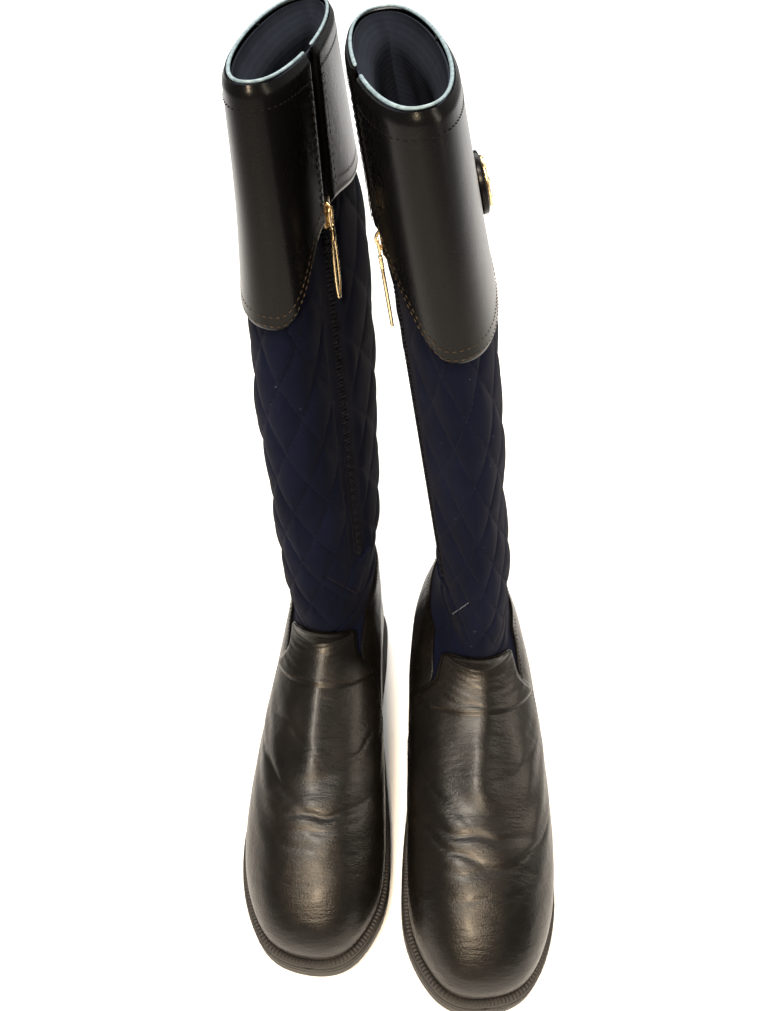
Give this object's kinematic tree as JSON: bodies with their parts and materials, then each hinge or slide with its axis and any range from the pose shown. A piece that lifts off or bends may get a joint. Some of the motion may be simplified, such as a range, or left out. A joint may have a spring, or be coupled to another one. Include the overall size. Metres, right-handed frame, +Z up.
{
  "type": "pair of quilted riding boots",
  "caption": "Pair of knee-high riding boots with rubber soles, leather feet, quilted cloth shafts, leather cuffs and inside zips.",
  "frame": {"origin": "on the ground, under the middle of the pair's bounding box", "axes": "+Z up the boots, toes towards -Y, the left boot at +X and the right boot at -X"},
  "size_m": [0.2078, 0.3442, 0.4641],
  "materials": {
    "rubber": "matt dark brown-black moulded rubber",
    "cork": "ground cork sheet",
    "board": "stiffened fibre board",
    "footbed_leather": "smooth insole leather",
    "steel": "plain spring steel",
    "lining": "soft dark lining cloth",
    "foot_leather": "waxed black-brown leather with creases and a satin shine",
    "navy_fabric": "plain navy cloth",
    "navy_quilt": "diamond quilted navy cloth, slightly fuzzy",
    "cuff_leather": "smooth black leather with a soft gloss",
    "pale_edge": "rolled pale edge",
    "zip_tape": "woven dark tape",
    "zip_teeth": "dark moulded plastic",
    "gold_metal": "pale gold plated metal, polished"
  },
  "bodies": {
    "right_foot": {"right_outsole": "rubber", "right_heel_block": "rubber", "right_heel_top_piece": "rubber", "right_welt": "rubber", "right_cork_filler": "cork", "right_insole_board": "board", "right_footbed": "footbed_leather", "right_shank": "steel", "right_toe_puff": "board", "right_heel_stiffener": "board", "right_foot_lining": "lining", "right_vamp": "foot_leather", "right_vamp_collar": "foot_leather", "right_quarter": "foot_leather", "right_ankle_gusset": "navy_fabric"},
    "right_shaft": {"right_quilted_shaft": "navy_quilt", "right_shaft_lining": "lining", "right_front_cuff": "cuff_leather", "right_rear_cuff": "cuff_leather", "right_top_binding": "pale_edge", "right_zip_tape_front": "zip_tape", "right_zip_tape_rear": "zip_tape", "right_zip_teeth_front": "zip_teeth", "right_zip_teeth_rear": "zip_teeth", "right_zip_bottom_stop": "zip_teeth", "right_medallion_pad": "cuff_leather", "right_medallion": "gold_metal"},
    "right_slider": {"right_zip_slider": "gold_metal"},
    "right_pull": {"right_zip_pull": "gold_metal"},
    "left_foot": {"left_outsole": "rubber", "left_heel_block": "rubber", "left_heel_top_piece": "rubber", "left_welt": "rubber", "left_cork_filler": "cork", "left_insole_board": "board", "left_footbed": "footbed_leather", "left_shank": "steel", "left_toe_puff": "board", "left_heel_stiffener": "board", "left_foot_lining": "lining", "left_vamp": "foot_leather", "left_vamp_collar": "foot_leather", "left_quarter": "foot_leather", "left_ankle_gusset": "navy_fabric"},
    "left_shaft": {"left_quilted_shaft": "navy_quilt", "left_shaft_lining": "lining", "left_front_cuff": "cuff_leather", "left_rear_cuff": "cuff_leather", "left_top_binding": "pale_edge", "left_zip_tape_front": "zip_tape", "left_zip_tape_rear": "zip_tape", "left_zip_teeth_front": "zip_teeth", "left_zip_teeth_rear": "zip_teeth", "left_zip_bottom_stop": "zip_teeth", "left_medallion_pad": "cuff_leather", "left_medallion": "gold_metal"},
    "left_slider": {"left_zip_slider": "gold_metal"},
    "left_pull": {"left_zip_pull": "gold_metal"}
  },
  "joints": [
    {"name": "left_boot_lift", "type": "slide", "parent": "right_foot", "child": "left_foot", "axis": [0, 0, 1], "range_m": [0, 0.3]},
    {"name": "right_ankle_lean", "type": "hinge", "parent": "right_foot", "child": "right_shaft", "pos_m": [-0.03916, 0.06521, 0.126], "axis": [1, 0, 0], "range_deg": [-5, 12], "deforming": ["right_ankle_gusset"]},
    {"name": "right_zip_travel", "type": "slide", "parent": "right_shaft", "child": "right_slider", "axis": [-0.0607, 0.0501, 0.9969], "range_m": [-0.185, 0.04]},
    {"name": "right_pull_swing", "type": "hinge", "parent": "right_slider", "child": "right_pull", "pos_m": [-0.03311, 0.04873, 0.40143], "axis": [-0.3266, -0.9447, 0.0276], "range_deg": [0, 24]},
    {"name": "left_ankle_lean", "type": "hinge", "parent": "left_foot", "child": "left_shaft", "pos_m": [0.04718, 0.04528, 0.126], "axis": [1, 0, 0], "range_deg": [-5, 12], "deforming": ["left_ankle_gusset"]},
    {"name": "left_zip_travel", "type": "slide", "parent": "left_shaft", "child": "left_slider", "axis": [-0.1659, 0.0065, 0.9861], "range_m": [-0.185, 0.04]},
    {"name": "left_pull_swing", "type": "hinge", "parent": "left_slider", "child": "left_pull", "pos_m": [-0.01251, 0.0226, 0.40002], "axis": [-0.1308, 0.991, -0.0285], "range_deg": [0, 39]}
  ]
}
